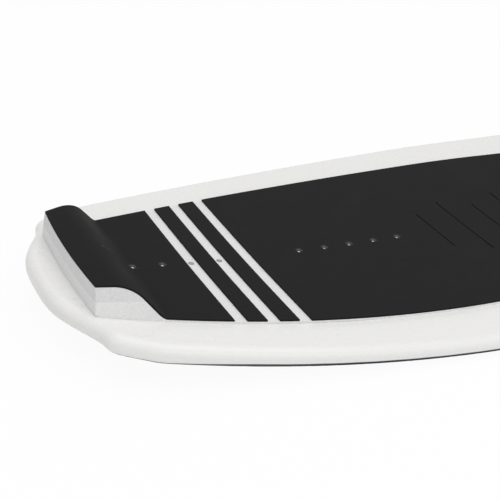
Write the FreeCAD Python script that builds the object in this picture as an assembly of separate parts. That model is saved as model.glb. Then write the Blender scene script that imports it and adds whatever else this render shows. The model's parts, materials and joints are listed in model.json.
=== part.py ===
"""A skim-style wakesurf board: foam core in a moulded shell, fin boxes below, a layered EVA pad above.

Every length is in millimetres. While a piece is shaped, X runs forward from a datum just behind the
tail, Y from the centreline to the left rail, and Z up from the flat of the bottom. save() then moves X
so that its zero is halfway along the board.
"""
import FreeCAD, Part
import math
import os

V = FreeCAD.Vector

# Board
TAIL_X = 8.0
NOSE_X = 1480.0
HALF_WIDTH = 264.0
THICKNESS = 23.0
TAIL_THICKENING = 4.5
WIDEST_X = 718.0
RAIL_CURVE_RADIUS = 2095.0
RAIL_CURVE_START_X = 110.0
NOSE_FULLNESS_X = 0.51
NOSE_FULLNESS_Y = 0.57
TAIL_SHAPE = ((84.0, 161.0), (65.0, 149.5), (51.0, 136.0), (46.5, 121.0),
              (39.5, 106.0), (30.0, 90.0), (20.5, 72.0), (13.0, 54.0), (9.0, 30.0))

# Rocker and deck concave
FLAT_START_X = 660.0
FLAT_END_X = 810.0
TAIL_ROCKER = 46.0
NOSE_ROCKER = 88.0
CONCAVE_DEPTH = 2.8
CONCAVE_HALF_WIDTH = 215.0
CONCAVE_FADE_TAIL = 60.0
CONCAVE_FADE_NOSE = 200.0

# Shell and core
SKIN = 1.2
RAIL_BAND = 16.0
RAIL_ROUND_TOP = 11.0
RAIL_ROUND_BOTTOM = 9.0
UPPER_RIM = 0.7
LOWER_RIM = 0.1
WRAP_HEIGHT = 5.0
WRAP_START_X = 60.0
WRAP_FULL_X = 330.0
WRAP_TAIL_HEIGHT = 1.3
STRINGER_WIDTH = 5.0
PATCH = 0.6
REAR_PATCH = (60.0, 370.0, 100.0)
FRONT_PATCH = (600.0, 950.0, 120.0)

# Fin boxes, each with one grub screw ahead of its slot
BOX_LENGTH = 132.0
BOX_WIDTH = 20.0
BOX_DEPTH = 13.0
SLOT_LENGTH = 106.0
SLOT_WIDTH = 7.0
SLOT_DEPTH = 11.0
SLOT_SETBACK = 6.0
SCREW_RADIUS = 2.5
SCREW_LENGTH = 7.0
SCREW_SETBACK = 7.0
HEX_ACROSS_FLATS = 2.5
HEX_DEPTH = 2.5
INSERT_MARGIN = 12.0
SIDE_BOX = (310.0, 162.0, 2.0)
CENTRE_BOX = (225.0, 0.0, 0.0)

# Pad layers
ADHESIVE = 0.4
PAD_BASE = 2.6
PAD_TOP = 2.5
PAD_BACK_X = 48.5
PAD_BACK_HALF_WIDTH = 98.5
PAD_SIDE_X = 350.0
PAD_SIDE_HALF_WIDTH = 167.5
PAD_WIDEST_X = 660.0
PAD_HALF_WIDTH = 189.3
PAD_FRONT_X = 1278.0
PAD_CORNER_RADIUS = 4.0
PAD_CORNER_MIDDLE = (0.3, 0.2)
PAD_CORNER_FLARE = 0.3
CHANNEL_FIRST_X = 205.0
CHANNEL_WIDTH = 15.2
CHANNEL_PITCH = 39.7

# Kick at the back of the pad
KICK_HEIGHT = 30.5
KICK_CREST_END_X = 90.0
KICK_FOOT_X = 123.5
KICK_SHOULDER_RADIUS = 28.0
KICK_SPLIT = 11.0
KICK_FLANK_LEAN = 7.0
KICK_BACK_LEAN = 1.5
KICK_SIDE_SLOPE = 0.31
KICK_REACH = 120.0
KICK_WALL_RISES = (-0.5, 1.5)

# Texture of the pad
DIMPLE_FIRST_X = 133.0
DIMPLE_PITCH = 39.7
DIMPLE_RADIUS = 5.0
DIMPLE_DEPTH = 1.2
DIMPLE_REAR_STEPS = (0, 1)
DIMPLE_FRONT_STEPS = (6, 7, 8, 9, 10)
GROOVE_FIRST_X = 596.0
GROOVE_PITCH = 50.8
GROOVE_COUNT = 12
GROOVE_WIDTH = 2.0
GROOVE_DEPTH = 1.0
GROOVE_HALF_SHORT = 47.5
GROOVE_HALF_LONG = 70.0

# How far the cutting regions reach past the board, and the smallest piece that counts as solid
REACH = 400.0
MARGIN = 40.0
SMALLEST_VOLUME = 10.0


# ---------------------------------------------------------------- curves

def rocker(x):
    """Height of the bottom above its flat at x."""
    if x < FLAT_START_X:
        return TAIL_ROCKER * ((FLAT_START_X - x) / FLAT_START_X) ** 2
    if x > FLAT_END_X:
        return NOSE_ROCKER * ((x - FLAT_END_X) / (NOSE_X - FLAT_END_X)) ** 2
    return 0.0


def thickness(x):
    """Thickness of the board at its rail at x."""
    if x < FLAT_START_X:
        return THICKNESS + TAIL_THICKENING * ((FLAT_START_X - x) / FLAT_START_X) ** 2
    return THICKNESS


def smooth_step(value):
    """0 below 0, 1 above 1, and a smooth ramp between."""
    t = min(max(value, 0.0), 1.0)
    return t * t * (3.0 - 2.0 * t)


def concave(x, y):
    """How far the deck dips at (x, y)."""
    across = min(abs(y) / CONCAVE_HALF_WIDTH, 1.0)
    along = smooth_step(x / CONCAVE_FADE_TAIL) * smooth_step((NOSE_X - x) / CONCAVE_FADE_NOSE)
    return CONCAVE_DEPTH * along * (1.0 - across * across) ** 2


def rail_point(angle, inset, side):
    """A point on the long rail curve, at an angle behind its widest station."""
    radius = RAIL_CURVE_RADIUS - inset
    across = HALF_WIDTH - RAIL_CURVE_RADIUS + radius * math.cos(angle)
    return V(WIDEST_X - radius * math.sin(angle), side * across, 0)


def tail_curve(inset=0.0):
    """The tail's plan curve from the left rail round to the right one, moved in by inset."""
    angle = math.asin((WIDEST_X - RAIL_CURVE_START_X) / RAIL_CURVE_RADIUS)
    left = [rail_point(angle, 0.0, 1)] + [V(x, y, 0) for x, y in TAIL_SHAPE]
    right = [V(p.x, -p.y, 0) for p in reversed(left)]
    points = left + [V(TAIL_X, 0, 0)] + right
    ends = {"InitialTangent": V(-math.cos(angle), -math.sin(angle), 0),
            "FinalTangent": V(math.cos(angle), -math.sin(angle), 0)}
    curve = Part.BSplineCurve()
    curve.interpolate(Points=points, **ends)
    if inset == 0.0:
        return curve
    moved = []
    for point in points:
        along = curve.tangent(curve.parameter(point))[0]
        moved.append(point + V(-along.y, along.x, 0) * inset)
    inner = Part.BSplineCurve()
    inner.interpolate(Points=moved, **ends)
    return inner


def board_outline(inset=0.0):
    """Closed plan outline at the widest part of the rail, moved in by inset."""
    angle = math.asin((WIDEST_X - RAIL_CURVE_START_X) / RAIL_CURVE_RADIUS)
    edges = [tail_curve(inset).toShape()]
    for side in (1, -1):
        points = [rail_point(a, inset, side) for a in (angle, angle / 2.0, 0.0)]
        edges.append(Part.Arc(*points).toShape())
        edges.append(nose_edge(WIDEST_X, HALF_WIDTH - inset, NOSE_X - inset, side))
    return Part.Wire(Part.__sortEdges__(edges))


def nose_edge(from_x, half_width, tip_x, side):
    """One side of a rounded end, square to the centreline at its tip."""
    curve = Part.BezierCurve()
    length = tip_x - from_x
    curve.setPoles([V(from_x, side * half_width, 0),
                    V(from_x + NOSE_FULLNESS_X * length, side * half_width, 0),
                    V(tip_x, side * NOSE_FULLNESS_Y * half_width, 0),
                    V(tip_x, 0, 0)])
    return curve.toShape()


def pad_outline():
    """Closed plan outline of the pad: a straight back, bowed sides and a rounded front."""
    back_end = PAD_BACK_HALF_WIDTH - PAD_CORNER_RADIUS
    mid_x = PAD_BACK_X + PAD_CORNER_MIDDLE[0] * PAD_CORNER_RADIUS
    mid_y = PAD_BACK_HALF_WIDTH - PAD_CORNER_MIDDLE[1] * PAD_CORNER_RADIUS
    side_x = PAD_BACK_X + PAD_CORNER_RADIUS
    side_y = PAD_BACK_HALF_WIDTH + PAD_CORNER_FLARE * PAD_CORNER_RADIUS
    edges = [Part.LineSegment(V(PAD_BACK_X, -back_end, 0), V(PAD_BACK_X, back_end, 0)).toShape()]
    for side in (1, -1):
        corner = [V(PAD_BACK_X, side * back_end, 0), V(mid_x, side * mid_y, 0), V(side_x, side * side_y, 0)]
        bow = [corner[2], V(PAD_SIDE_X, side * PAD_SIDE_HALF_WIDTH, 0),
               V(PAD_WIDEST_X, side * PAD_HALF_WIDTH, 0)]
        edges.append(Part.Arc(*corner).toShape())
        edges.append(Part.Arc(*bow).toShape())
        edges.append(nose_edge(PAD_WIDEST_X, PAD_HALF_WIDTH, PAD_FRONT_X, side))
    return Part.Wire(Part.__sortEdges__(edges))


def rounded_bar(length, width):
    """Closed outline of a bar with round ends, centred on the origin and lying along X."""
    half = (length - width) / 2.0
    radius = width / 2.0
    edges = [Part.LineSegment(V(-half, radius, 0), V(half, radius, 0)).toShape(),
             Part.Arc(V(half, radius, 0), V(half + radius, 0, 0), V(half, -radius, 0)).toShape(),
             Part.LineSegment(V(half, -radius, 0), V(-half, -radius, 0)).toShape(),
             Part.Arc(V(-half, -radius, 0), V(-half - radius, 0, 0), V(-half, radius, 0)).toShape()]
    return Part.Wire(edges)


# ---------------------------------------------------------------- regions

def prism(wire):
    """Everything inside a plan outline."""
    face = Part.Face(wire)
    face.translate(V(0, 0, -REACH))
    return face.extrude(V(0, 0, 2 * REACH))


def slab(start, end, half_width=REACH):
    """Everything between two stations along the board."""
    return Part.makeBox(end - start, 2 * half_width, 2 * REACH, V(start, -half_width, -REACH))


def above_bottom(lift=0.0):
    """Everything above the bottom, raised by lift."""
    tail = Part.BezierCurve()
    tail.setPoles([V(0, 0, TAIL_ROCKER), V(FLAT_START_X / 2.0, 0, 0), V(FLAT_START_X, 0, 0)])
    nose = Part.BezierCurve()
    nose.setPoles([V(FLAT_END_X, 0, 0), V((FLAT_END_X + NOSE_X) / 2.0, 0, 0), V(NOSE_X, 0, NOSE_ROCKER)])
    tail_slope = 2 * TAIL_ROCKER / FLAT_START_X
    nose_slope = 2 * NOSE_ROCKER / (NOSE_X - FLAT_END_X)
    behind = V(-MARGIN, 0, TAIL_ROCKER + tail_slope * MARGIN)
    ahead = V(NOSE_X + MARGIN, 0, NOSE_ROCKER + nose_slope * MARGIN)
    corners = [V(NOSE_X, 0, NOSE_ROCKER), ahead, V(ahead.x, 0, REACH), V(behind.x, 0, REACH),
               behind, V(0, 0, TAIL_ROCKER)]
    edges = [tail.toShape(),
             Part.LineSegment(V(FLAT_START_X, 0, 0), V(FLAT_END_X, 0, 0)).toShape(),
             nose.toShape()]
    edges += [Part.LineSegment(a, b).toShape() for a, b in zip(corners, corners[1:])]
    face = Part.Face(Part.Wire(edges))
    face.translate(V(0, -REACH, lift))
    return face.extrude(V(0, 2 * REACH, 0))


def height_surface(height, x_step=35.0, y_step=29.0):
    """A smooth face through height(x, y) over the whole board."""
    x_count = int((NOSE_X + 2 * MARGIN) / x_step)
    y_count = int((HALF_WIDTH + MARGIN) / y_step)
    rows = []
    for i in range(x_count + 1):
        x = -MARGIN + (NOSE_X + 2 * MARGIN) * i / x_count
        row = []
        for j in range(-y_count, y_count + 1):
            y = (HALF_WIDTH + MARGIN) * j / y_count
            row.append(V(x, y, height(x, y)))
        rows.append(row)
    surface = Part.BSplineSurface()
    surface.interpolate(rows)
    return surface.toShape()


def deck_face():
    """The top of the deck."""
    return height_surface(lambda x, y: rocker(x) + thickness(x) - concave(x, y))


def wrap_face():
    """The line up the rail where the coloured bottom ends, low at the tail and higher amidships."""
    def height(x, y):
        rise = smooth_step((x - WRAP_START_X) / (WRAP_FULL_X - WRAP_START_X))
        return rocker(x) + WRAP_TAIL_HEIGHT + (WRAP_HEIGHT - WRAP_TAIL_HEIGHT) * rise
    return height_surface(height)


def above(face, lift=0.0):
    """Everything above a face, raised by lift."""
    lifted = face.copy()
    lifted.translate(V(0, 0, lift))
    return lifted.extrude(V(0, 0, REACH))


def below(face, lift=0.0):
    """Everything below a face, raised by lift."""
    lifted = face.copy()
    lifted.translate(V(0, 0, lift))
    return lifted.extrude(V(0, 0, -REACH))


def inside(shape, *regions):
    """The part of a shape that lies in every region."""
    for region in regions:
        shape = shape.common(region)
    return shape


def without(shape, *others):
    """The shape with others taken out."""
    for other in others:
        shape = shape.cut(other)
    return shape


# ---------------------------------------------------------------- shell and core

def board_body(outline, deck):
    """The whole moulded board as one solid, with rounded rails."""
    body = inside(prism(outline), above_bottom(), below(deck)).Solids[0]
    top = rim_edges(body, upper=True)
    body = body.makeFillet(RAIL_ROUND_TOP, top)
    bottom = rim_edges(body, upper=False)
    return body.makeFillet(RAIL_ROUND_BOTTOM, bottom)


def rim_edges(body, upper):
    """The edges round the deck or round the bottom."""
    edges = []
    for edge in body.Edges:
        points = [edge.valueAt(edge.FirstParameter + t * (edge.LastParameter - edge.FirstParameter))
                  for t in (0.02, 0.5, 0.98)]
        heights = [p.z - rocker(p.x) for p in points]
        if upper and min(heights) > UPPER_RIM * THICKNESS:
            edges.append(edge)
        across = max(p.y for p in points) - min(p.y for p in points)
        on_flat_join = across > HALF_WIDTH and abs(points[0].x - points[2].x) < 0.01
        if not upper and max(heights) < LOWER_RIM * THICKNESS and not on_flat_join:
            edges.append(edge)
    return edges


def bottom_skin(body, inner, wrap, fin_boxes):
    """The coloured bottom: a thin sheet whose rim turns up under the rails."""
    tray = inside(body, below(wrap))
    hollow = inside(inner, above_bottom(SKIN))
    return without(tray, hollow, *fin_boxes)


def rails(body, inner, wrap):
    """The left and right rail bands, which meet at the nose and the tail."""
    band = without(inside(body, above(wrap)), inner)
    middle = NOSE_X / 2.0
    left = Part.makeBox(2 * REACH + NOSE_X, REACH, 2 * REACH, V(middle - REACH - NOSE_X / 2.0, 0, -REACH))
    return {"rail_left": inside(band, left), "rail_right": without(band, left)}


def patch(deck, inner, place):
    """A sheet of glass cloth under the deck skin where a foot stands."""
    start, end, half_width = place
    sheet = inside(slab(start, end, half_width), inner, above(deck, -SKIN - PATCH))
    return inside(sheet, below(deck, -SKIN))


def core_pieces(inner, deck, fillers):
    """The foam core in two halves with the wooden stringer between them."""
    blank = inside(inner, above_bottom(SKIN), below(deck, -SKIN))
    blank = without(blank, *fillers)
    stringer_zone = slab(-REACH, NOSE_X + REACH, STRINGER_WIDTH / 2.0)
    halves = without(blank, stringer_zone)
    left_zone = slab(-REACH, NOSE_X + REACH)
    left_zone.translate(V(0, REACH, 0))
    return {"foam_core_left": inside(halves, left_zone),
            "foam_core_right": without(halves, left_zone),
            "stringer": inside(blank, stringer_zone)}


# ---------------------------------------------------------------- fin boxes

def placed(shape, place, side):
    """A shape moved from the origin to a fin box's place, toed in by its angle."""
    x, y, toe_in = place
    moved = shape.copy()
    moved.rotate(V(0, 0, 0), V(0, 0, 1), -side * toe_in)
    moved.translate(V(x, side * y, 0))
    return moved


def fin_box_parts(place, side, inner, deck):
    """One fin box, its foam insert and its grub screw, flush with the bottom."""
    plan = rounded_bar(BOX_LENGTH, BOX_WIDTH)
    slot = rounded_bar(SLOT_LENGTH, SLOT_WIDTH)
    slot.translate(V(-(BOX_LENGTH - SLOT_LENGTH) / 2.0 + SLOT_SETBACK, 0, 0))
    insert_plan = rounded_bar(BOX_LENGTH + 2 * INSERT_MARGIN, BOX_WIDTH + 2 * INSERT_MARGIN)
    seat = inside(placed(prism(plan), place, side), without(above_bottom(), above_bottom(BOX_DEPTH)))
    slot_cut = without(placed(prism(slot), place, side), above_bottom(SLOT_DEPTH))
    screw_x = BOX_LENGTH / 2.0 - SCREW_SETBACK
    level = rocker(placed(Part.Vertex(screw_x, 0, 0), place, side).X)
    hole = placed(Part.makeCylinder(SCREW_RADIUS, REACH, V(screw_x, 0, level - REACH + SLOT_DEPTH)),
                  place, side)
    screw = Part.makeCylinder(SCREW_RADIUS, SCREW_LENGTH,
                              V(screw_x, 0, level + SLOT_DEPTH - SCREW_LENGTH))
    corner_radius = HEX_ACROSS_FLATS / math.sqrt(3.0)
    corners = [V(screw_x + corner_radius * math.cos(math.radians(60 * i)),
                 corner_radius * math.sin(math.radians(60 * i)),
                 level + SLOT_DEPTH - SCREW_LENGTH) for i in range(7)]
    socket = Part.Face(Part.makePolygon(corners)).extrude(V(0, 0, HEX_DEPTH))
    screw = placed(screw.cut(socket), place, side)
    block = inside(placed(prism(insert_plan), place, side), inner, above_bottom(SKIN), below(deck, -SKIN))
    return {"box": without(seat, slot_cut, hole), "seat": seat, "screw": screw, "block": block}


# ---------------------------------------------------------------- pad

def channels():
    """The three open channels across the pad."""
    return [slab(CHANNEL_FIRST_X + i * CHANNEL_PITCH, CHANNEL_FIRST_X + i * CHANNEL_PITCH + CHANNEL_WIDTH)
            for i in range(3)]


def pad_level(x):
    """Height of the pad's upper face beside the centre's dip."""
    return rocker(x) + thickness(x) + ADHESIVE + PAD_BASE + PAD_TOP


def kick_zone(drop):
    """Everything under the kick's upper face, lowered by drop along the face's own normal."""
    back = PAD_BACK_X - 1.0
    base = pad_level(PAD_BACK_X)
    crest = V(KICK_CREST_END_X, 0, base + KICK_HEIGHT)
    foot = V(KICK_FOOT_X, 0, pad_level(KICK_FOOT_X))
    ramp = foot - crest
    ramp.normalize()
    normal = V(-ramp.z, 0, ramp.x)
    beyond = foot + ramp * KICK_REACH
    turn = math.acos(ramp.x)
    reach = KICK_SHOULDER_RADIUS * math.tan(turn / 2.0)
    centre = V(crest.x - reach, 0, crest.z - KICK_SHOULDER_RADIUS)
    radius = KICK_SHOULDER_RADIUS - drop
    angles = (math.pi / 2.0, (math.pi - turn) / 2.0, math.pi / 2.0 - turn)
    arc = [centre + V(radius * math.cos(a), 0, radius * math.sin(a)) for a in angles]
    low = V(beyond.x - normal.x * drop, 0, beyond.z - normal.z * drop)
    edges = [Part.LineSegment(V(back, 0, -MARGIN), V(back, 0, arc[0].z)).toShape(),
             Part.LineSegment(V(back, 0, arc[0].z), arc[0]).toShape(),
             Part.Arc(*arc).toShape(),
             Part.LineSegment(arc[2], low).toShape(),
             Part.LineSegment(low, V(low.x, 0, -MARGIN - REACH)).toShape(),
             Part.LineSegment(V(low.x, 0, -MARGIN - REACH), V(back, 0, -MARGIN - REACH)).toShape(),
             Part.LineSegment(V(back, 0, -MARGIN - REACH), V(back, 0, -MARGIN)).toShape()]
    face = Part.Face(Part.Wire(edges))
    face.translate(V(0, -REACH, 0))
    return face.extrude(V(0, 2 * REACH, 0))


def leaning_walls():
    """The kick's four walls, which lean inward over its height."""
    low_z = pad_level(PAD_BACK_X) - PAD_TOP
    loops = []
    for rise in KICK_WALL_RISES:
        lean = KICK_FLANK_LEAN * rise
        back = PAD_BACK_X + KICK_BACK_LEAN * rise
        front_half = PAD_BACK_HALF_WIDTH + KICK_SIDE_SLOPE * KICK_REACH - lean
        back_half = PAD_BACK_HALF_WIDTH - lean
        z = low_z + rise * KICK_HEIGHT
        corners = [V(back, -back_half, z), V(PAD_BACK_X + KICK_REACH, -front_half, z),
                   V(PAD_BACK_X + KICK_REACH, front_half, z), V(back, back_half, z)]
        loops.append(Part.makePolygon(corners + corners[:1]))
    return Part.makeLoft(loops, True, True)


def pad_pieces(deck):
    """Every layer of the pad and the blocks of its kick."""
    outline = pad_outline()
    area = prism(outline)
    base_level = ADHESIVE + PAD_BASE
    under = above(deck, base_level)
    pieces = {"pad_adhesive": inside(area, above(deck), below(deck, ADHESIVE)),
              "pad_base": inside(area, above(deck, ADHESIVE), below(deck, base_level))}
    sheet = inside(area, under, below(deck, base_level + PAD_TOP))
    first = channels()[0].BoundBox.XMin
    rear_zone = slab(-REACH, first)
    raised = inside(leaning_walls(), area, under, kick_zone(0.0))
    filling = inside(raised, kick_zone(PAD_TOP))
    split = pad_level(PAD_BACK_X) + KICK_SPLIT
    lower_half = Part.makeBox(2 * REACH, 2 * REACH, 2 * REACH, V(-REACH, -REACH, split - 2 * REACH))
    pieces["kick_block_lower"] = inside(filling, lower_half)
    pieces["kick_block_upper"] = without(filling, lower_half)
    tail_sheet = inside(sheet, rear_zone)
    pieces["pad_tail"] = without(tail_sheet.fuse(raised), filling)
    front = without(sheet, rear_zone, *channels())
    ordered = sorted(front.Solids, key=lambda solid: solid.CenterOfMass.x)
    pieces["pad_strip_rear"] = ordered[0]
    pieces["pad_strip_front"] = ordered[1]
    pieces["pad_front"] = ordered[2]
    return pieces


def dimple(x):
    """A ball that leaves a shallow round dimple in the pad at x."""
    ball_radius = (DIMPLE_RADIUS ** 2 + DIMPLE_DEPTH ** 2) / (2.0 * DIMPLE_DEPTH)
    level = pad_level(x) - concave(x, 0.0)
    return Part.makeSphere(ball_radius, V(x, 0, level + ball_radius - DIMPLE_DEPTH))


def groove(index, deck):
    """A thin groove across the pad's middle, short and long by turns."""
    half = GROOVE_HALF_LONG if index % 2 else GROOVE_HALF_SHORT
    plan = rounded_bar(2 * half, GROOVE_WIDTH)
    plan.rotate(V(0, 0, 0), V(0, 0, 1), 90)
    plan.translate(V(GROOVE_FIRST_X + index * GROOVE_PITCH, 0, 0))
    return inside(prism(plan), above(deck, ADHESIVE + PAD_BASE + PAD_TOP - GROOVE_DEPTH))


def textured(pieces, deck):
    """The pad with its dimples and grooves cut."""
    rear = [dimple(DIMPLE_FIRST_X + i * DIMPLE_PITCH) for i in DIMPLE_REAR_STEPS]
    front = [dimple(DIMPLE_FIRST_X + i * DIMPLE_PITCH) for i in DIMPLE_FRONT_STEPS]
    front += [groove(i, deck) for i in range(GROOVE_COUNT)]
    pieces["pad_tail"] = without(pieces["pad_tail"], *rear)
    pieces["pad_front"] = without(pieces["pad_front"], *front)
    return pieces


def save(name, shape):
    """Write a piece's closed solids with X counted from the middle of the board."""
    piece = shape.copy()
    piece.translate(V(-(TAIL_X + NOSE_X) / 2.0, 0, 0))
    solids = [s for s in piece.Solids if s.Volume > SMALLEST_VOLUME]
    result = solids[0] if len(solids) == 1 else Part.makeCompound(solids)
    print("%-22s %2d solids %12.1f mm3 valid %s"
          % (name, len(solids), sum(s.Volume for s in solids), all(s.isValid() for s in solids)))
    result.exportStep("parts/%s.step" % name)


def main():
    os.makedirs("parts", exist_ok=True)
    deck = deck_face()
    wrap = wrap_face()
    body = board_body(board_outline(), deck)
    inner = prism(board_outline(RAIL_BAND))
    boxes = {"left": fin_box_parts(SIDE_BOX, 1, inner, deck),
             "right": fin_box_parts(SIDE_BOX, -1, inner, deck),
             "centre": fin_box_parts(CENTRE_BOX, 1, inner, deck)}
    seats = [box["seat"] for box in boxes.values()]
    blocks = [box["block"] for box in boxes.values()]
    pieces = rails(body, inner, wrap)
    pieces["deck_skin"] = inside(body, inner, above(deck, -SKIN))
    pieces["bottom_skin"] = bottom_skin(body, inner, wrap, seats)
    pieces["rear_patch"] = patch(deck, inner, REAR_PATCH)
    pieces["front_patch"] = patch(deck, inner, FRONT_PATCH)
    patches = [pieces["rear_patch"], pieces["front_patch"]]
    pieces.update(core_pieces(inner, deck, blocks + patches))
    for name, box in boxes.items():
        pieces["fin_box_" + name] = box["box"]
        pieces["fin_box_block_" + name] = without(box["block"], box["seat"], *patches)
    pieces["fin_box_screws"] = Part.makeCompound([box["screw"] for box in boxes.values()])
    pieces.update(textured(pad_pieces(deck), deck))
    for name, shape in pieces.items():
        save(name, shape)


main()
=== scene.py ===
"""Looks of a wakesurf board: glossy moulded shell, layered EVA deck pad and its raised tail kick."""
import json
import logging
import math
from contextlib import contextmanager
from dataclasses import dataclass, field
from enum import Enum
from typing import Callable, Iterator, Sequence

import bpy
from mathutils import Matrix, Vector


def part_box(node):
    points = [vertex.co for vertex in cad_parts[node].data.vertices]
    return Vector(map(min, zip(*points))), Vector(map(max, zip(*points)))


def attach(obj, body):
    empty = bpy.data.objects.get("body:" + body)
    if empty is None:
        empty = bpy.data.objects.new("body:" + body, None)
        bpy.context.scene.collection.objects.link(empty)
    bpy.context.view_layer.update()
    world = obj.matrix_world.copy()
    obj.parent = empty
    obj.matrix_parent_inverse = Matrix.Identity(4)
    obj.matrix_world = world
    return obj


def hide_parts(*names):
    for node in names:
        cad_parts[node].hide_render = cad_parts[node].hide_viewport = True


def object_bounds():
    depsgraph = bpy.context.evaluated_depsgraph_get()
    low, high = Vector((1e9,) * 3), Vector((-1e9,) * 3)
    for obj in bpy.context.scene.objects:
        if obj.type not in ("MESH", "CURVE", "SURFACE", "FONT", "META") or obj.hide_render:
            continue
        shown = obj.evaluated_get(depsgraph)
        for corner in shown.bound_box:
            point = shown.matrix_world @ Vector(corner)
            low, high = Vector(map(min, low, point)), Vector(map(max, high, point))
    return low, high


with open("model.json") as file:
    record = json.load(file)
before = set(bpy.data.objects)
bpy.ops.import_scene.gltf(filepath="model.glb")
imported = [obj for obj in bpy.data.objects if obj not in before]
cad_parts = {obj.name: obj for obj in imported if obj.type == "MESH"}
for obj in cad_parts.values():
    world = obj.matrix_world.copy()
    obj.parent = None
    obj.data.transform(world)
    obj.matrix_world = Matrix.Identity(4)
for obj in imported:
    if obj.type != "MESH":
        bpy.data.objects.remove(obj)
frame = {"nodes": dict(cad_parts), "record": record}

LOG = logging.getLogger("board")
CAD_BOX = [list(corner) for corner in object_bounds()]

Color = tuple[float, float, float]
Pair = tuple[Vector, Vector]


class Slot(Enum):
    """The record's material slots that the new pieces take their finish from."""

    BLACK_FOAM = "black_foam"
    PALE_FOAM = "pale_foam"
    GREY_FOAM = "grey_foam"


# ---------------------------------------------------------------- modelling helpers

def clear_selection() -> None:
    """Leave object mode with nothing selected."""
    if bpy.context.object and bpy.context.object.mode != "OBJECT":
        bpy.ops.object.mode_set(mode="OBJECT")
    bpy.ops.object.select_all(action="DESELECT")


def pick(piece: bpy.types.Object) -> None:
    """Select one object alone and make it active.

    Args:
        piece: the object to work on.
    """
    clear_selection()
    piece.select_set(True)
    bpy.context.view_layer.objects.active = piece


@contextmanager
def editing(piece: bpy.types.Object) -> Iterator[None]:
    """Open one object in edit mode with all of its mesh selected.

    Args:
        piece: the object to edit.
    """
    pick(piece)
    bpy.ops.object.mode_set(mode="EDIT")
    bpy.ops.mesh.select_all(action="SELECT")
    yield
    bpy.ops.object.mode_set(mode="OBJECT")


def apply_modifier(piece: bpy.types.Object, kind: str, **values: object) -> None:
    """Add a modifier to an object, set it and apply it.

    Args:
        piece: the object to change.
        kind: the modifier's type.
        values: the modifier's settings.
    """
    modifier = piece.modifiers.new(kind.title(), kind)
    for key, value in values.items():
        setattr(modifier, key, value)
    pick(piece)
    bpy.ops.object.modifier_apply(modifier=modifier.name)


def soften(piece: bpy.types.Object, width: float, segments: int = 3) -> None:
    """Round an object's sharp edges.

    Args:
        piece: the object to change.
        width: width of the rounding.
        segments: how many faces make the rounding.
    """
    apply_modifier(piece, "BEVEL", width=width, segments=segments, limit_method="ANGLE",
                   angle_limit=math.radians(40.0), use_clamp_overlap=True)


def finish_surface(piece: bpy.types.Object, angle: float = 32.0) -> None:
    """Close an object's seams, point its faces outwards and smooth its shading.

    Args:
        piece: the object to finish.
        angle: edges sharper than this many degrees stay crisp.
    """
    with editing(piece):
        bpy.ops.mesh.remove_doubles(threshold=1e-6)
        bpy.ops.mesh.normals_make_consistent(inside=False)
    pick(piece)
    bpy.ops.object.shade_smooth_by_angle(angle=math.radians(angle))


def join(pieces: Sequence[bpy.types.Object]) -> bpy.types.Object:
    """Join objects into the first of them.

    Args:
        pieces: the objects to join.

    Returns:
        The joined object.
    """
    clear_selection()
    for piece in pieces:
        piece.select_set(True)
    bpy.context.view_layer.objects.active = pieces[0]
    bpy.ops.object.join()
    return pieces[0]


def slab_from_rows(name: str, rows: Sequence[Sequence[Pair]]) -> bpy.types.Object:
    """Shape a grid, thickened by an extrude, into a sheet or a block.

    Args:
        name: name of the new object.
        rows: for each station along the board, the (under, upper) points across it.

    Returns:
        The closed object.
    """
    along, across = len(rows) - 1, len(rows[0]) - 1
    clear_selection()
    bpy.ops.mesh.primitive_grid_add(x_subdivisions=along, y_subdivisions=across, size=1.0)
    piece = bpy.context.object
    piece.name = name
    piece.data.name = name
    with editing(piece):
        bpy.ops.mesh.extrude_region_move(TRANSFORM_OT_translate={"value": (0.0, 0.0, 1.0)})
    for vertex in piece.data.vertices:
        i = round((vertex.co.x + 0.5) * along)
        j = round((vertex.co.y + 0.5) * across)
        vertex.co = rows[i][j][1 if vertex.co.z > 0.5 else 0]
    finish_surface(piece)
    return piece


def carve(piece: bpy.types.Object, cutters: Sequence[bpy.types.Object],
          finish: bpy.types.Material, cut_finish: bpy.types.Material) -> None:
    """Cut tools out of a piece and remove the tools.

    Args:
        piece: the object to cut.
        cutters: the closed shapes to take away.
        finish: the piece's own finish.
        cut_finish: finish of the faces that the tools leave.
    """
    tool = join(cutters)
    tool.data.materials.append(cut_finish)
    if not piece.data.materials:
        piece.data.materials.append(finish)
    apply_modifier(piece, "BOOLEAN", operation="DIFFERENCE", solver="EXACT", object=tool,
                   material_mode="TRANSFER")
    bpy.data.objects.remove(tool)


# ---------------------------------------------------------------- material graphs

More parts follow.
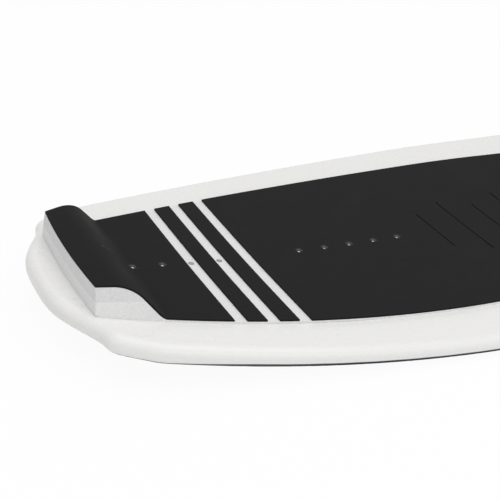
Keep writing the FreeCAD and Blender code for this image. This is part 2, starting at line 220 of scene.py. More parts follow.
class Graph:
    """A material's nodes, added one at a time on object coordinates."""

    def __init__(self, name: str) -> None:
        """Start a material with a plain shader.

        Args:
            name: the material's name.
        """
        self.material = bpy.data.materials.new(name)
        self.material.use_nodes = True
        self.tree = self.material.node_tree
        self.shader = self.tree.nodes["Principled BSDF"]
        self.place = self.tree.nodes.new("ShaderNodeTexCoord").outputs["Object"]

    def node(self, kind: str, **values: object) -> bpy.types.Node:
        """Add a node and set its properties.

        Args:
            kind: the node's type.
            values: properties of the node.

        Returns:
            The new node.
        """
        made = self.tree.nodes.new(kind)
        for key, value in values.items():
            setattr(made, key, value)
        return made

    def wire(self, source: bpy.types.NodeSocket, target: bpy.types.NodeSocket) -> None:
        """Link two sockets."""
        self.tree.links.new(source, target)

    def stretched(self, scale: Color) -> bpy.types.NodeSocket:
        """Object coordinates scaled along each axis.

        Args:
            scale: factors along X, Y and Z.

        Returns:
            The scaled coordinates.
        """
        mapping = self.node("ShaderNodeMapping")
        mapping.inputs["Scale"].default_value = scale
        self.wire(self.place, mapping.inputs["Vector"])
        return mapping.outputs["Vector"]

    def noise(self, size: float, detail: float = 3.0, rough: float = 0.5,
              place: bpy.types.NodeSocket | None = None) -> bpy.types.NodeSocket:
        """Soft noise.

        Args:
            size: size of its blotches in metres.
            detail: how many finer layers it has.
            rough: strength of the finer layers.
            place: coordinates to use, or None for the object's own.

        Returns:
            The noise's value.
        """
        made = self.node("ShaderNodeTexNoise")
        made.inputs["Scale"].default_value = 1.0 / size
        made.inputs["Detail"].default_value = detail
        made.inputs["Roughness"].default_value = rough
        self.wire(place or self.place, made.inputs["Vector"])
        return made.outputs["Fac"]

    def cells(self, size: float, feature: str = "F1") -> bpy.types.NodeSocket:
        """Round or crackled cells.

        Args:
            size: size of a cell in metres.
            feature: which distance the cells show.

        Returns:
            The distance value.
        """
        made = self.node("ShaderNodeTexVoronoi", feature=feature)
        made.inputs["Scale"].default_value = 1.0 / size
        self.wire(self.place, made.inputs["Vector"])
        return made.outputs["Distance"]

    def bands(self, size: float, axis: str, distortion: float = 0.0,
              place: bpy.types.NodeSocket | None = None) -> bpy.types.NodeSocket:
        """Parallel waves across an axis.

        Args:
            size: distance between waves in metres.
            axis: X, Y or Z.
            distortion: how far the waves wander.
            place: coordinates to use, or None for the object's own.

        Returns:
            The wave's value.
        """
        made = self.node("ShaderNodeTexWave", wave_type="BANDS", bands_direction=axis, wave_profile="SIN")
        made.inputs["Scale"].default_value = math.pi / (10.0 * size)
        made.inputs["Distortion"].default_value = distortion
        made.inputs["Detail"].default_value = 2.0
        self.wire(place or self.place, made.inputs["Vector"])
        return made.outputs["Fac"]

    def span(self, source: bpy.types.NodeSocket, low: float, high: float,
             start: float = 0.0, end: float = 1.0) -> bpy.types.NodeSocket:
        """Map a value's range from start..end to low..high.

        Args:
            source: the value.
            low: result at start.
            high: result at end.
            start: lower input.
            end: upper input.

        Returns:
            The mapped value.
        """
        made = self.node("ShaderNodeMapRange", clamp=True)
        for socket, value in (("From Min", start), ("From Max", end), ("To Min", low), ("To Max", high)):
            made.inputs[socket].default_value = value
        self.wire(source, made.inputs["Value"])
        return made.outputs["Result"]

    def blend(self, share: bpy.types.NodeSocket, first: object, second: object) -> bpy.types.NodeSocket:
        """Mix two colours.

        Args:
            share: 0 gives the first colour, 1 the second.
            first: a colour or a colour socket.
            second: a colour or a colour socket.

        Returns:
            The mixed colour.
        """
        made = self.node("ShaderNodeMix", data_type="RGBA")
        self.wire(share, made.inputs[0])
        for socket, value in ((made.inputs[6], first), (made.inputs[7], second)):
            if isinstance(value, bpy.types.NodeSocket):
                self.wire(value, socket)
            else:
                socket.default_value = (*value, 1.0)
        return made.outputs[2]

    def math(self, operation: str, first: bpy.types.NodeSocket, second: object) -> bpy.types.NodeSocket:
        """Combine two values.

        Args:
            operation: the kind of sum.
            first: the first value.
            second: a number or a value socket.

        Returns:
            The result.
        """
        made = self.node("ShaderNodeMath", operation=operation)
        self.wire(first, made.inputs[0])
        if isinstance(second, bpy.types.NodeSocket):
            self.wire(second, made.inputs[1])
        else:
            made.inputs[1].default_value = second
        return made.outputs[0]

    def relief(self, height: bpy.types.NodeSocket, depth: float, strength: float = 1.0,
               under: bpy.types.NodeSocket | None = None) -> bpy.types.NodeSocket:
        """Turn a height into a bump.

        Args:
            height: the height value.
            depth: the bump's depth in metres.
            strength: how much of it shows.
            under: a bump that this one lies on.

        Returns:
            The bumped normal.
        """
        made = self.node("ShaderNodeBump")
        made.inputs["Strength"].default_value = strength
        made.inputs["Distance"].default_value = depth
        self.wire(height, made.inputs["Height"])
        if under is not None:
            self.wire(under, made.inputs["Normal"])
        return made.outputs["Normal"]

    def dress(self, **sockets: object) -> bpy.types.Material:
        """Set or link the shader's own sockets.

        Args:
            sockets: socket names with underscores for spaces, each with a number, colour or socket.

        Returns:
            The finished material.
        """
        for key, value in sockets.items():
            target = self.shader.inputs[key.replace("_", " ")]
            if isinstance(value, bpy.types.NodeSocket):
                self.wire(value, target)
            elif isinstance(value, tuple):
                target.default_value = (*value, 1.0)
            else:
                target.default_value = value
        return self.material


def shade(color: Color, factor: float) -> Color:
    """A colour made lighter or darker.

    Args:
        color: the colour.
        factor: what each part is multiplied by.

    Returns:
        The new colour, kept under 1.
    """
    return tuple(min(part * factor, 0.98) for part in color)


# ---------------------------------------------------------------- the board's own curves

@dataclass(frozen=True)
class BoardForm:
    """The board's curves, in metres, with X counted forward from a datum just behind the tail."""

    tail: float = 0.008
    nose: float = 1.480
    thickness: float = 0.023
    tail_thickening: float = 0.0045
    flat_start: float = 0.660
    flat_end: float = 0.810
    tail_rocker: float = 0.046
    nose_rocker: float = 0.088
    concave_depth: float = 0.0028
    concave_half: float = 0.215
    fade_tail: float = 0.060
    fade_nose: float = 0.200

    def station(self, row_x: float) -> float:
        """The station of a place given in the frame."""
        return row_x + (self.tail + self.nose) / 2.0

    def rocker(self, x: float) -> float:
        """Height of the bottom at a station.

        Args:
            x: the station.

        Returns:
            Height above the flat of the bottom.
        """
        if x < self.flat_start:
            return self.tail_rocker * ((self.flat_start - x) / self.flat_start) ** 2
        if x > self.flat_end:
            return self.nose_rocker * ((x - self.flat_end) / (self.nose - self.flat_end)) ** 2
        return 0.0

    def rim(self, x: float) -> float:
        """Height of the deck beside its dip at a station.

        Args:
            x: the station.

        Returns:
            Height above the flat of the bottom.
        """
        extra = max(self.flat_start - x, 0.0) / self.flat_start
        return self.rocker(x) + self.thickness + self.tail_thickening * extra ** 2

    def deck(self, x: float, y: float) -> float:
        """Height of the deck.

        Args:
            x: the station.
            y: distance from the centreline.

        Returns:
            Height above the flat of the bottom.
        """
        def ease(value: float) -> float:
            t = min(max(value, 0.0), 1.0)
            return t * t * (3.0 - 2.0 * t)
        across = min(abs(y) / self.concave_half, 1.0)
        along = ease(x / self.fade_tail) * ease((self.nose - x) / self.fade_nose)
        return self.rim(x) - self.concave_depth * along * (1.0 - across * across) ** 2

    def point(self, x: float, y: float, z: float) -> Vector:
        """A place in the frame, from a station, an offset and a height."""
        return Vector((x - (self.tail + self.nose) / 2.0, y, z))


# ---------------------------------------------------------------- finishes

@dataclass(frozen=True)
class Finish:
    """A named finish of one main colour."""

    name: str
    color: Color

    def sockets(self, graph: Graph) -> dict[str, object]:
        """What the shader's sockets hold, by name.

        Args:
            graph: the material's nodes.

        Returns:
            Socket names with underscores for spaces, each with a number, colour or socket.
        """
        raise NotImplementedError

    def material(self) -> bpy.types.Material:
        """The finish's material."""
        graph = Graph(self.name)
        return graph.dress(**self.sockets(graph))


@dataclass(frozen=True)
class MouldedGloss(Finish):
    """A glossy moulded shell with a faint ripple, haze and rubbed patches."""

    roughness: float = 0.24
    haze: float = 0.008
    shine: float = 0.3

    def sockets(self, graph: Graph) -> dict[str, object]:
        """What the shader's sockets hold."""
        clouds = graph.noise(0.11, 4.0, 0.55)
        color = graph.blend(clouds, shade(self.color, 1.0 - self.haze), shade(self.color, 1.0 + self.haze))
        color = self.tinted(graph, color)
        rubbed = graph.noise(0.035, 5.0, 0.6)
        rough = graph.span(rubbed, self.roughness, self.roughness + 0.14, 0.45, 0.75)
        ripple = graph.relief(graph.noise(0.045, 2.0, 0.4), 0.00006, 0.3)
        peel = graph.relief(graph.noise(0.0021, 2.0, 0.5), 0.00003, 0.3, ripple)
        return dict(Base_Color=color, Roughness=rough, Normal=peel, Specular_IOR_Level=self.shine)

    def tinted(self, graph: Graph, color: bpy.types.NodeSocket) -> bpy.types.NodeSocket:
        """The colour as it is, for a shell of one colour."""
        return color


@dataclass(frozen=True)
class TuckedGloss(MouldedGloss):
    """The glossy rails, with the bottom's colour turned up round their lower edge."""

    tuck: Color = (0.016, 0.021, 0.034)
    tail_height: float = 0.0022
    full_height: float = 0.0074
    start: float = 0.030
    full: float = 0.200
    softness: float = 0.0002

    def tinted(self, graph: Graph, color: bpy.types.NodeSocket) -> bpy.types.NodeSocket:
        """The rail's colour, dark below the line where the bottom's colour ends.

        Args:
            graph: the material's nodes.
            color: the colour above the line.

        Returns:
            The colour all over.
        """
        form = BoardForm()
        place = graph.node("ShaderNodeSeparateXYZ")
        graph.wire(graph.place, place.inputs[0])
        x, z = place.outputs["X"], place.outputs["Z"]
        flat_start, flat_end, tail, nose = (form.point(v, 0.0, 0.0).x for v in
                                            (form.flat_start, form.flat_end, 0.0, form.nose))
        rear = graph.span(x, 1.0, 0.0, tail, flat_start)
        front = graph.span(x, 0.0, 1.0, flat_end, nose)
        rear = graph.math("MULTIPLY", graph.math("MULTIPLY", rear, rear), form.tail_rocker)
        front = graph.math("MULTIPLY", graph.math("MULTIPLY", front, front), form.nose_rocker)
        height = graph.math("SUBTRACT", z, graph.math("ADD", rear, front))
        line_start, line_full = (form.point(v, 0.0, 0.0).x for v in (self.start, self.full))
        line = graph.span(x, self.tail_height, self.full_height, line_start, line_full)
        above = graph.math("SUBTRACT", height, line)
        return graph.blend(graph.span(above, 0.0, 1.0, -self.softness, self.softness), self.tuck, color)


@dataclass(frozen=True)
class BrushedFoam(Finish):
    """Dark EVA foam with a brushed nap, pores and soft handling marks."""

    roughness: float = 0.72

    def sockets(self, graph: Graph) -> dict[str, object]:
        """What the shader's sockets hold."""
        marks = graph.noise(0.045, 5.0, 0.62)
        worn = graph.span(marks, 0.0, 1.0, 0.35, 0.72)
        color = graph.blend(worn, shade(self.color, 0.84), shade(self.color, 1.4))
        specks = graph.noise(0.0011, 3.0, 0.7)
        color = graph.blend(graph.span(specks, 0.0, 0.5, 0.6, 0.8), color, shade(self.color, 2.4))
        rough = graph.span(marks, self.roughness, self.roughness + 0.16, 0.3, 0.7)
        nap = graph.relief(graph.noise(0.0009, 4.0, 0.65), 0.00035, 0.55)
        pores = graph.relief(graph.cells(0.0017), 0.00025, 0.4, nap)
        return dict(Base_Color=color, Roughness=rough, Normal=pores, Specular_IOR_Level=0.12)


@dataclass(frozen=True)
class PressedFoamPaintedLight(Finish):
    """EVA foam melted smooth under a hot stamp, with a soft gloss; its colour is painted light, set darker or
    lighter than the foam round it to stand for shade or highlight in the dimples.
    """

    roughness: float = 0.14

    def sockets(self, graph: Graph) -> dict[str, object]:
        """What the shader's sockets hold."""
        smears = graph.noise(0.003, 4.0, 0.6)
        color = graph.blend(smears, shade(self.color, 0.8), shade(self.color, 1.5))
        rough = graph.span(smears, self.roughness, self.roughness + 0.15, 0.4, 0.8)
        wrinkles = graph.relief(graph.noise(0.0012, 3.0, 0.5), 0.00012, 0.35)
        return dict(Base_Color=color, Roughness=rough, Normal=wrinkles, Specular_IOR_Level=0.4)


@dataclass(frozen=True)
class CutFoam(Finish):
    """Foam cut across its cells: speckled, matte and a little uneven."""

    speckle: float = 0.16
    cell: float = 0.0022

    def sockets(self, graph: Graph) -> dict[str, object]:
        """What the shader's sockets hold."""
        drift = graph.noise(0.03, 3.0, 0.5)
        color = graph.blend(drift, shade(self.color, 0.97), shade(self.color, 1.03))
        grain = graph.noise(self.cell, 4.0, 0.75)
        bright = graph.span(grain, 0.0, self.speckle * 4.0, 0.52, 0.8)
        color = graph.blend(bright, color, shade(self.color, 1.3))
        dark = graph.span(grain, self.speckle * 3.0, 0.0, 0.24, 0.46)
        color = graph.blend(dark, color, shade(self.color, 0.62))
        cells = graph.relief(graph.cells(self.cell), self.cell * 0.25, 0.5)
        rough = graph.relief(grain, self.cell * 0.2, 0.4, cells)
        return dict(Base_Color=color, Roughness=0.88, Normal=rough, Specular_IOR_Level=0.3)


@dataclass(frozen=True)
class BeadFoam(Finish):
    """Expanded beads pressed together, cut smooth."""

    bead: float = 0.0042

    def sockets(self, graph: Graph) -> dict[str, object]:
        """What the shader's sockets hold."""
        seams = graph.cells(self.bead, "DISTANCE_TO_EDGE")
        color = graph.blend(graph.span(seams, 0.0, 1.0, 0.0, 0.12), shade(self.color, 0.8), self.color)
        color = graph.blend(graph.span(graph.noise(0.02), 0.0, 0.3), color, shade(self.color, 1.08))
        beads = graph.relief(seams, self.bead * 0.2, 0.6)
        return dict(Base_Color=color, Roughness=0.85, Normal=beads)


@dataclass(frozen=True)
class SawnWood(Finish):
    """Pale sawn wood with its grain along the board."""

    def sockets(self, graph: Graph) -> dict[str, object]:
        """What the shader's sockets hold."""
        lengthwise = graph.stretched((0.06, 1.0, 1.0))
        rings = graph.bands(0.0035, "Z", 5.0, lengthwise)
        color = graph.blend(rings, shade(self.color, 0.72), shade(self.color, 1.18))
        fibres = graph.noise(0.0007, 4.0, 0.7, lengthwise)
        color = graph.blend(graph.span(fibres, 0.0, 0.5, 0.5, 0.8), color, shade(self.color, 0.55))
        grain = graph.relief(fibres, 0.00025, 0.6)
        return dict(Base_Color=color, Roughness=0.7, Normal=grain)


@dataclass(frozen=True)
class WovenGlass(Finish):
    """Glass cloth wetted with resin: crossing threads under a thin gloss."""

    thread: float = 0.0016

    def sockets(self, graph: Graph) -> dict[str, object]:
        """What the shader's sockets hold."""
        warp = graph.bands(self.thread, "X", 0.3)
        weft = graph.bands(self.thread, "Y", 0.3)
        weave = graph.math("MULTIPLY", warp, weft)
        color = graph.blend(weave, shade(self.color, 0.8), shade(self.color, 1.1))
        color = graph.blend(graph.span(graph.noise(0.04), 0.0, 0.4, 0.4, 0.8), color, shade(self.color, 0.85))
        threads = graph.relief(weave, 0.0002, 0.6)
        return dict(Base_Color=color, Roughness=0.35, Normal=threads, Coat_Weight=0.3)


@dataclass(frozen=True)
class GlueFilm(Finish):
    """A clear adhesive film, cloudy where air is trapped."""

    def sockets(self, graph: Graph) -> dict[str, object]:
        """What the shader's sockets hold."""
        air = graph.cells(0.007)
        color = graph.blend(graph.span(air, 0.0, 0.6, 0.2, 0.7), self.color, shade(self.color, 1.2))
        rough = graph.span(graph.noise(0.01), 0.25, 0.5, 0.3, 0.7)
        wrinkles = graph.relief(graph.noise(0.005, 3.0), 0.0002, 0.4)
        return dict(Base_Color=color, Roughness=rough, Normal=wrinkles)


@dataclass(frozen=True)
class MouldedNylon(Finish):
    """Glass-filled nylon with a fine spark grain and pale wear."""

    def sockets(self, graph: Graph) -> dict[str, object]:
        """What the shader's sockets hold."""
        flow = graph.noise(0.014, 3.0, 0.5)
        cloudy = graph.span(flow, 0.0, 1.0, 0.35, 0.7)
        color = graph.blend(cloudy, shade(self.color, 0.8), shade(self.color, 1.5))
        rough = graph.span(graph.noise(0.006, 4.0), 0.38, 0.58, 0.3, 0.7)
        grain = graph.relief(graph.noise(0.0006, 2.0, 0.6), 0.00008, 0.6)
        return dict(Base_Color=color, Roughness=rough, Normal=grain)


@dataclass(frozen=True)
class TurnedSteel(Finish):
    """Stainless steel with fine turning marks."""

    def sockets(self, graph: Graph) -> dict[str, object]:
        """What the shader's sockets hold."""
        stain = graph.noise(0.002, 3.0)
        color = graph.blend(stain, shade(self.color, 0.85), shade(self.color, 1.15))
        rough = graph.span(graph.noise(0.0006, 3.0), 0.22, 0.4, 0.3, 0.7)
        marks = graph.relief(graph.bands(0.0003, "Z"), 0.00003, 0.5)
        return dict(Base_Color=color, Roughness=rough, Normal=marks, Metallic=1.0)


# ---------------------------------------------------------------- the pad's plan

@dataclass
class PadPlan:
    """The pad's plan outline: a bowed back, bowed sides and a rounded front."""

    form: BoardForm
    back_x: float = 0.0485
    back_half: float = 0.0985
    back_bow: float = 0.0045
    bow_reach: float = 0.040
    side_x: float = 0.350
    side_half: float = 0.1675
    widest_x: float = 0.660
    widest_half: float = 0.1893
    corner: float = 0.004
    corner_middle: tuple[float, float] = (0.3, 0.2)
    corner_flare: float = 0.3
    nose_fullness: tuple[float, float] = (0.51, 0.57)
    front_x: float = field(init=False)

    def __post_init__(self) -> None:
        """Take the pad's front from the CAD node and fit the bow of its sides."""
        self.front_x = self.form.station(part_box("pad_base")[1].x)
        first = (self.back_x + self.corner, self.back_half + self.corner_flare * self.corner)
        second, third = (self.side_x, self.side_half), (self.widest_x, self.widest_half)
        self.bow_centre, self.bow_radius = self.circle(first, second, third)

    @staticmethod
    def circle(a: tuple[float, float], b: tuple[float, float],
               c: tuple[float, float]) -> tuple[tuple[float, float], float]:
        """The circle through three points.

        Args:
            a: first point.
            b: second point.
            c: third point.

        Returns:
            Its centre and its radius.
        """
        d = 2.0 * (a[0] * (b[1] - c[1]) + b[0] * (c[1] - a[1]) + c[0] * (a[1] - b[1]))
        squares = [p[0] ** 2 + p[1] ** 2 for p in (a, b, c)]
        x = (squares[0] * (b[1] - c[1]) + squares[1] * (c[1] - a[1]) + squares[2] * (a[1] - b[1])) / d
        y = (squares[0] * (c[0] - b[0]) + squares[1] * (a[0] - c[0]) + squares[2] * (b[0] - a[0])) / d
        return (x, y), math.hypot(a[0] - x, a[1] - y)

    def bowed_back(self, across: float) -> float:
        """Station of the pad's back between the centreline, 0, and a corner, 1."""
        return self.back_x - self.back_bow * (1.0 - across * across)

    def bowed(self, x: float, across: float) -> float:
        """A station moved rearward where the back bulges.

        Args:
            x: the station.
            across: place between the centreline, 0, and the side, 1 or -1.

        Returns:
            The station in the bulge, which dies out ahead of the back.
        """
        fade = max(0.0, 1.0 - (x - self.back_x) / self.bow_reach)
        return x - self.back_bow * fade * (1.0 - across * across)

    def side(self, x: float) -> float:
        """Half width of the bowed side at a station."""
        centre, radius = self.bow_centre, self.bow_radius
        return centre[1] + math.sqrt(radius ** 2 - (x - centre[0]) ** 2)

    def back_stations(self) -> list[tuple[float, float]]:
        """Stations and half widths round the pad's back corners."""
        middle = (self.back_x + self.corner_middle[0] * self.corner,
                  self.back_half - self.corner_middle[1] * self.corner)
        return [(self.back_x, self.back_half - self.corner), middle]

    def side_stations(self, start: float, end: float, step: float) -> list[tuple[float, float]]:
        """Stations and half widths along the bowed sides.

        Args:
            start: first station.
            end: last station.
            step: greatest distance between stations.

        Returns:
            (station, half width) pairs.
        """
        count = max(1, math.ceil((end - start) / step))
        places = [start + (end - start) * i / count for i in range(count + 1)]
        return [(x, self.side(x)) for x in places]

    def front_stations(self, count: int = 46) -> list[tuple[float, float]]:
        """Stations and half widths round the pad's front, past its widest place.

        Args:
            count: how many stations.

        Returns:
            (station, half width) pairs.
        """
        length = self.front_x - self.widest_x
        pull = (self.widest_x, self.widest_x + self.nose_fullness[0] * length, self.front_x, self.front_x)
        wide = (self.widest_half, self.widest_half, self.nose_fullness[1] * self.widest_half, 0.0)
        pairs = []
        for i in range(1, count + 1):
            t = i / count
            weights = ((1 - t) ** 3, 3 * t * (1 - t) ** 2, 3 * t * t * (1 - t), t ** 3)
            x, half = (sum(w * p for w, p in zip(weights, poles)) for poles in (pull, wide))
            pairs.append((x, half))
        return pairs


# ---------------------------------------------------------------- the kick and the pad

@dataclass
class KickForm:
    """The raised wedge across the pad's back."""

    form: BoardForm
    plan: PadPlan
    base_level: float = 0.0030
    sheet: float = 0.0025
    height: float = 0.0305
    crest_end: float = 0.090
    foot: float = 0.1235
    shoulder: float = 0.045
    foot_radius: float = 0.022
    split: float = 0.011
    flank_lean: float = 0.007
    back_lean: float = 0.0015
    side_slope: float = 0.31

    def __post_init__(self) -> None:
        """Work out the ramp's line and the shoulder's centre."""
        self.level = self.form.rim(self.plan.back_x) + self.base_level + self.sheet
        foot_z = self.form.rim(self.foot) + self.base_level + self.sheet
        run, fall = self.foot - self.crest_end, foot_z - (self.level + self.height)
        self.slope = fall / run
        self.turn = math.atan2(-fall, run)
        self.arc_start = self.crest_end - self.shoulder * math.tan(self.turn / 2.0)
        self.arc_centre = self.level + self.height - self.shoulder
        self.foot_z = foot_z
        self.pad_slope = (self.form.rim(self.foot + 0.001) - self.form.rim(self.foot)) / 0.001
        dip = self.form.rim(self.foot) - self.form.deck(self.foot, 0.0)
        low_x = self.foot + dip / (self.pad_slope - self.slope)
        low_z = foot_z + self.slope * (low_x - self.foot)
        lean = math.atan(self.pad_slope)
        reach = self.foot_radius * math.tan((self.turn + lean) / 2.0)
        self.sweep_start = low_x - reach * math.cos(self.turn)
        self.sweep_end = low_x + reach * math.cos(lean)
        self.sweep_centre = (self.sweep_start + self.foot_radius * math.sin(self.turn),
                             low_z + reach * math.sin(self.turn) + self.foot_radius * math.cos(self.turn))

    def top(self, x: float, drop: float = 0.0) -> float:
        """Height of the kick's upper face, lowered square to itself.

        Args:
            x: the station.
            drop: how far below the face.

        Returns:
            Height above the flat of the bottom.
        """
        radius = self.shoulder - drop
        if x <= self.arc_start:
            return self.arc_centre + radius
        if x <= self.arc_start + radius * math.sin(self.turn):
            return self.arc_centre + math.sqrt(radius ** 2 - (x - self.arc_start) ** 2)
        hollow = self.foot_radius + drop
        centre_x, centre_z = self.sweep_centre
        if x <= centre_x - hollow * math.sin(self.turn):
            return self.foot_z + self.slope * (x - self.foot) - drop / math.cos(self.turn)
        if x <= centre_x + hollow * math.sin(math.atan(self.pad_slope)):
            return centre_z - math.sqrt(hollow ** 2 - (x - centre_x) ** 2)
        return 0.0

    def wall(self, x: float, z: float) -> float:
        """Half width of the kick between its leaning flanks.

        Args:
            x: the station.
            z: height above the flat of the bottom.

        Returns:
            The half width.
        """
        rise = (z - (self.level - self.sheet)) / self.height
        return self.plan.back_half + self.side_slope * (x - self.plan.back_x) - self.flank_lean * rise

    def back(self, z: float, across: float = 1.0) -> float:
        """Station of the kick's leaning, bowed back.

        Args:
            z: height above the flat of the bottom.
            across: place between the centreline, 0, and a corner, 1.

        Returns:
            The station.
        """
        rise = (z - (self.level - self.sheet)) / self.height
        return self.plan.bowed_back(across) + self.back_lean * rise


@dataclass
class DeckPad:
    """The layered EVA pad: pale base, black top in four pieces and the foam of its kick."""

    form: BoardForm
    plan: PadPlan
    kick: KickForm
    materials: dict[str, bpy.types.Material]
    glue: float = 0.0004
    base: float = 0.0026
    sheet: float = 0.0025
    edge: float = 0.0007
    seam: float = 0.00015
    across: int = 40
    step: float = 0.010
    dimple_first: float = 0.133
    dimple_pitch: float = 0.0397
    dimple_radius: float = 0.0050
    dimple_depth: float = 0.0027
    tail_dimples: Sequence[int] = (0, 1)
    channel_dimples: Sequence[int] = (2, 3)
    front_dimples: Sequence[int] = (6, 7, 8, 9, 10)
    shallow: tuple[float, float] = (0.8, 0.7)
    slit_x: float = 0.097
    slit_half_sizes: tuple[float, float, float] = (0.0078, 0.0016, 0.0011)
    groove_first: float = 0.596
    groove_pitch: float = 0.0508
    groove_count: int = 12
    groove_width: float = 0.0020
    groove_depth: float = 0.0010
    groove_halves: tuple[float, float] = (0.0475, 0.070)
    groove_tool: float = 0.010
    strip_step: float = 0.003
    least_rise: float = 1e-4

    def spread(self) -> list[float]:
        """Places across the pad from one side, -1, to the other, 1."""
        return [2.0 * j / self.across - 1.0 for j in range(self.across + 1)]

    def layer(self, name: str, stations: Sequence[tuple[float, float]], low: float,
              high: float) -> bpy.types.Object:
        """A sheet that follows the deck.

        Args:
            name: name of the new object.
            stations: (station, half width) pairs.
            low: height of its underside above the deck.
            high: height of its upper face above the deck.

        Returns:
            The sheet with softened edges.
        """
        rows = []
        for x, half in stations:
            row = []
            for side in self.spread():
                y = half * side
                at = self.plan.bowed(x, side)
                deck = self.form.deck(at, y)
                row.append((self.form.point(at, y, deck + low), self.form.point(at, y, deck + high)))
            rows.append(row)
        piece = slab_from_rows(name, rows)
        soften(piece, self.edge)
        return piece

    def dimple(self, x: float, level: float, radius: float, depth: float) -> bpy.types.Object:
        """A ball that leaves a shallow round dimple on the centreline.

        Args:
            x: the station.
            level: height of the surface that it dents.
            radius: radius of the dimple.
            depth: its depth.

        Returns:
            The ball.
        """
        ball = (radius ** 2 + depth ** 2) / (2.0 * depth)
        clear_selection()
        place = self.form.point(x, 0.0, level + ball - depth)
        bpy.ops.mesh.primitive_uv_sphere_add(segments=96, ring_count=64, radius=ball, location=place)
        return self.settled(bpy.context.object)

    def dimples(self, steps: Sequence[int], above: float, radius: float,
                depth: float) -> list[bpy.types.Object]:
        """Balls for a row of dimples.

        Args:
            steps: each dimple's place in the row.
            above: height of the dented surface above the deck.
            radius: radius of a dimple.
            depth: its depth.

        Returns:
            The balls.
        """
        places = [self.dimple_first + k * self.dimple_pitch for k in steps]
        return [self.dimple(x, self.form.deck(x, 0.0) + above, radius, depth) for x in places]

    def groove(self, index: int) -> bpy.types.Object:
        """A round-ended bar that leaves a thin groove across the pad.

        Args:
            index: the groove's number from the rear.

        Returns:
            The bar.
        """
        x = self.groove_first + index * self.groove_pitch
        level = self.form.deck(x, 0.0) + self.glue + self.base + self.sheet - self.groove_depth
        tall = self.groove_tool
        clear_selection()
        bpy.ops.mesh.primitive_cylinder_add(vertices=24, radius=self.groove_width / 2.0, depth=tall,
                                            location=self.form.point(x, 0.0, level + tall / 2.0))
        bar = self.settled(bpy.context.object)
        half = self.groove_halves[index % 2]
        for vertex in bar.data.vertices:
            vertex.co.y += half if vertex.co.y > 0.0 else -half
        return bar

    @staticmethod
    def settled(piece: bpy.types.Object) -> bpy.types.Object:
        """Move an object's place into its mesh.

        Args:
            piece: the object.

        Returns:
            The same object, at the origin.
        """
        pick(piece)
        bpy.ops.object.transform_apply(location=True, rotation=True, scale=True)
        return piece

    def pale_base(self) -> bpy.types.Object:
        """The pale lower layer, which shows in the channels.

        Returns:
            The finished piece.
        """
        stations = self.plan.back_stations()
        start = self.plan.back_x + self.plan.corner
        stations += self.plan.side_stations(start, self.plan.widest_x, self.step)
        stations += self.plan.front_stations()
        piece = self.layer("Pad_Base_Sheet", stations, self.glue, self.glue + self.base)
        tools = self.dimples(self.channel_dimples, self.glue + self.base,
                             self.dimple_radius * self.shallow[0], self.dimple_depth * self.shallow[1])
        # The dimples' faces take a dark grey finish: painted shade in the hollows of the pale foam.
        carve(piece, tools, self.materials["pale_foam"], self.materials["pale_dimple_painted_shade"])
        return piece

    def strip(self, name: str, node: str) -> bpy.types.Object:
        """One narrow black strip between two channels.

        Args:
            name: name of the new object.
            node: the CAD node that it stands for.

        Returns:
            The finished piece.
        """
        low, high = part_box(node)
        start, end = self.form.station(low.x), self.form.station(high.x)
        stations = self.plan.side_stations(start, end, self.strip_step)
        under = self.glue + self.base
        return self.layer(name, stations, under, under + self.sheet)

    def front(self) -> bpy.types.Object:
        """The long black front sheet with its dimples and grooves.

        Returns:
            The finished piece.
        """
        start = self.form.station(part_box("pad_front")[0].x)
        stations = self.plan.side_stations(start, self.plan.widest_x, self.step) + self.plan.front_stations()
        under = self.glue + self.base
        piece = self.layer("Pad_Front_Sheet", stations, under, under + self.sheet)
        tools = self.dimples(self.front_dimples, under + self.sheet,
                             self.dimple_radius, self.dimple_depth)
        # The dimples take a finish lighter than the black foam: painted highlight, with a real soft gloss.
        black, pressed = self.materials["black_foam"], self.materials["black_dimple_painted_highlight"]
        carve(piece, tools, black, pressed)
        carve(piece, [self.groove(i) for i in range(self.groove_count)], black, black)
        return piece

    def tail(self) -> bpy.types.Object:
        """The black tail sheet, which runs up the ramp and over the kick.

        Returns:
            The finished piece.
        """
        kick = self.kick
        end = self.form.station(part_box("pad_tail")[1].x)
        rows = []
        for x in self.tail_stations(end):
            row = []
            flat = self.glue + self.base
            pad_top = self.form.deck(x, 0.0) + flat + self.sheet
            upper = max(kick.top(x), pad_top)
            raised = upper > pad_top + self.least_rise
            half = min(kick.wall(x, upper), self.plan.side(x)) if raised else self.plan.side(x)
            for side in self.spread():
                y = half * side
                at = max(self.plan.bowed(x, side), kick.back(upper, side))
                rise = self.form.deck(at, y) + flat
                low = max(kick.top(at, self.sheet), rise)
                high = max(kick.top(at), rise + self.sheet)
                row.append((self.form.point(at, y, low), self.form.point(at, y, high)))
            rows.append(row)
        piece = slab_from_rows("Pad_Tail_Sheet", rows)
        soften(piece, self.edge)
        tools = [self.slit()] + self.dimples(self.tail_dimples, self.glue + self.base + self.sheet,
                                             self.dimple_radius, self.dimple_depth)
        # The slit and dimples take a finish lighter than the black foam: painted highlight, with a real soft
        # gloss.
        carve(piece, tools, self.materials["black_foam"], self.materials["black_dimple_painted_highlight"])
        return piece

    def slit(self) -> bpy.types.Object:
        """A long slim lens that leaves a slit down the kick's shoulder.

        Returns:
            The lens.
        """
        turn = math.asin((self.slit_x - self.kick.arc_start) / self.kick.shoulder)
        place = self.form.point(self.slit_x, 0.0, self.kick.top(self.slit_x))
        clear_selection()
        bpy.ops.mesh.primitive_uv_sphere_add(segments=48, ring_count=32, radius=1.0, location=place,
                                             rotation=(0.0, turn, 0.0), scale=self.slit_half_sizes)
        return self.settled(bpy.context.object)

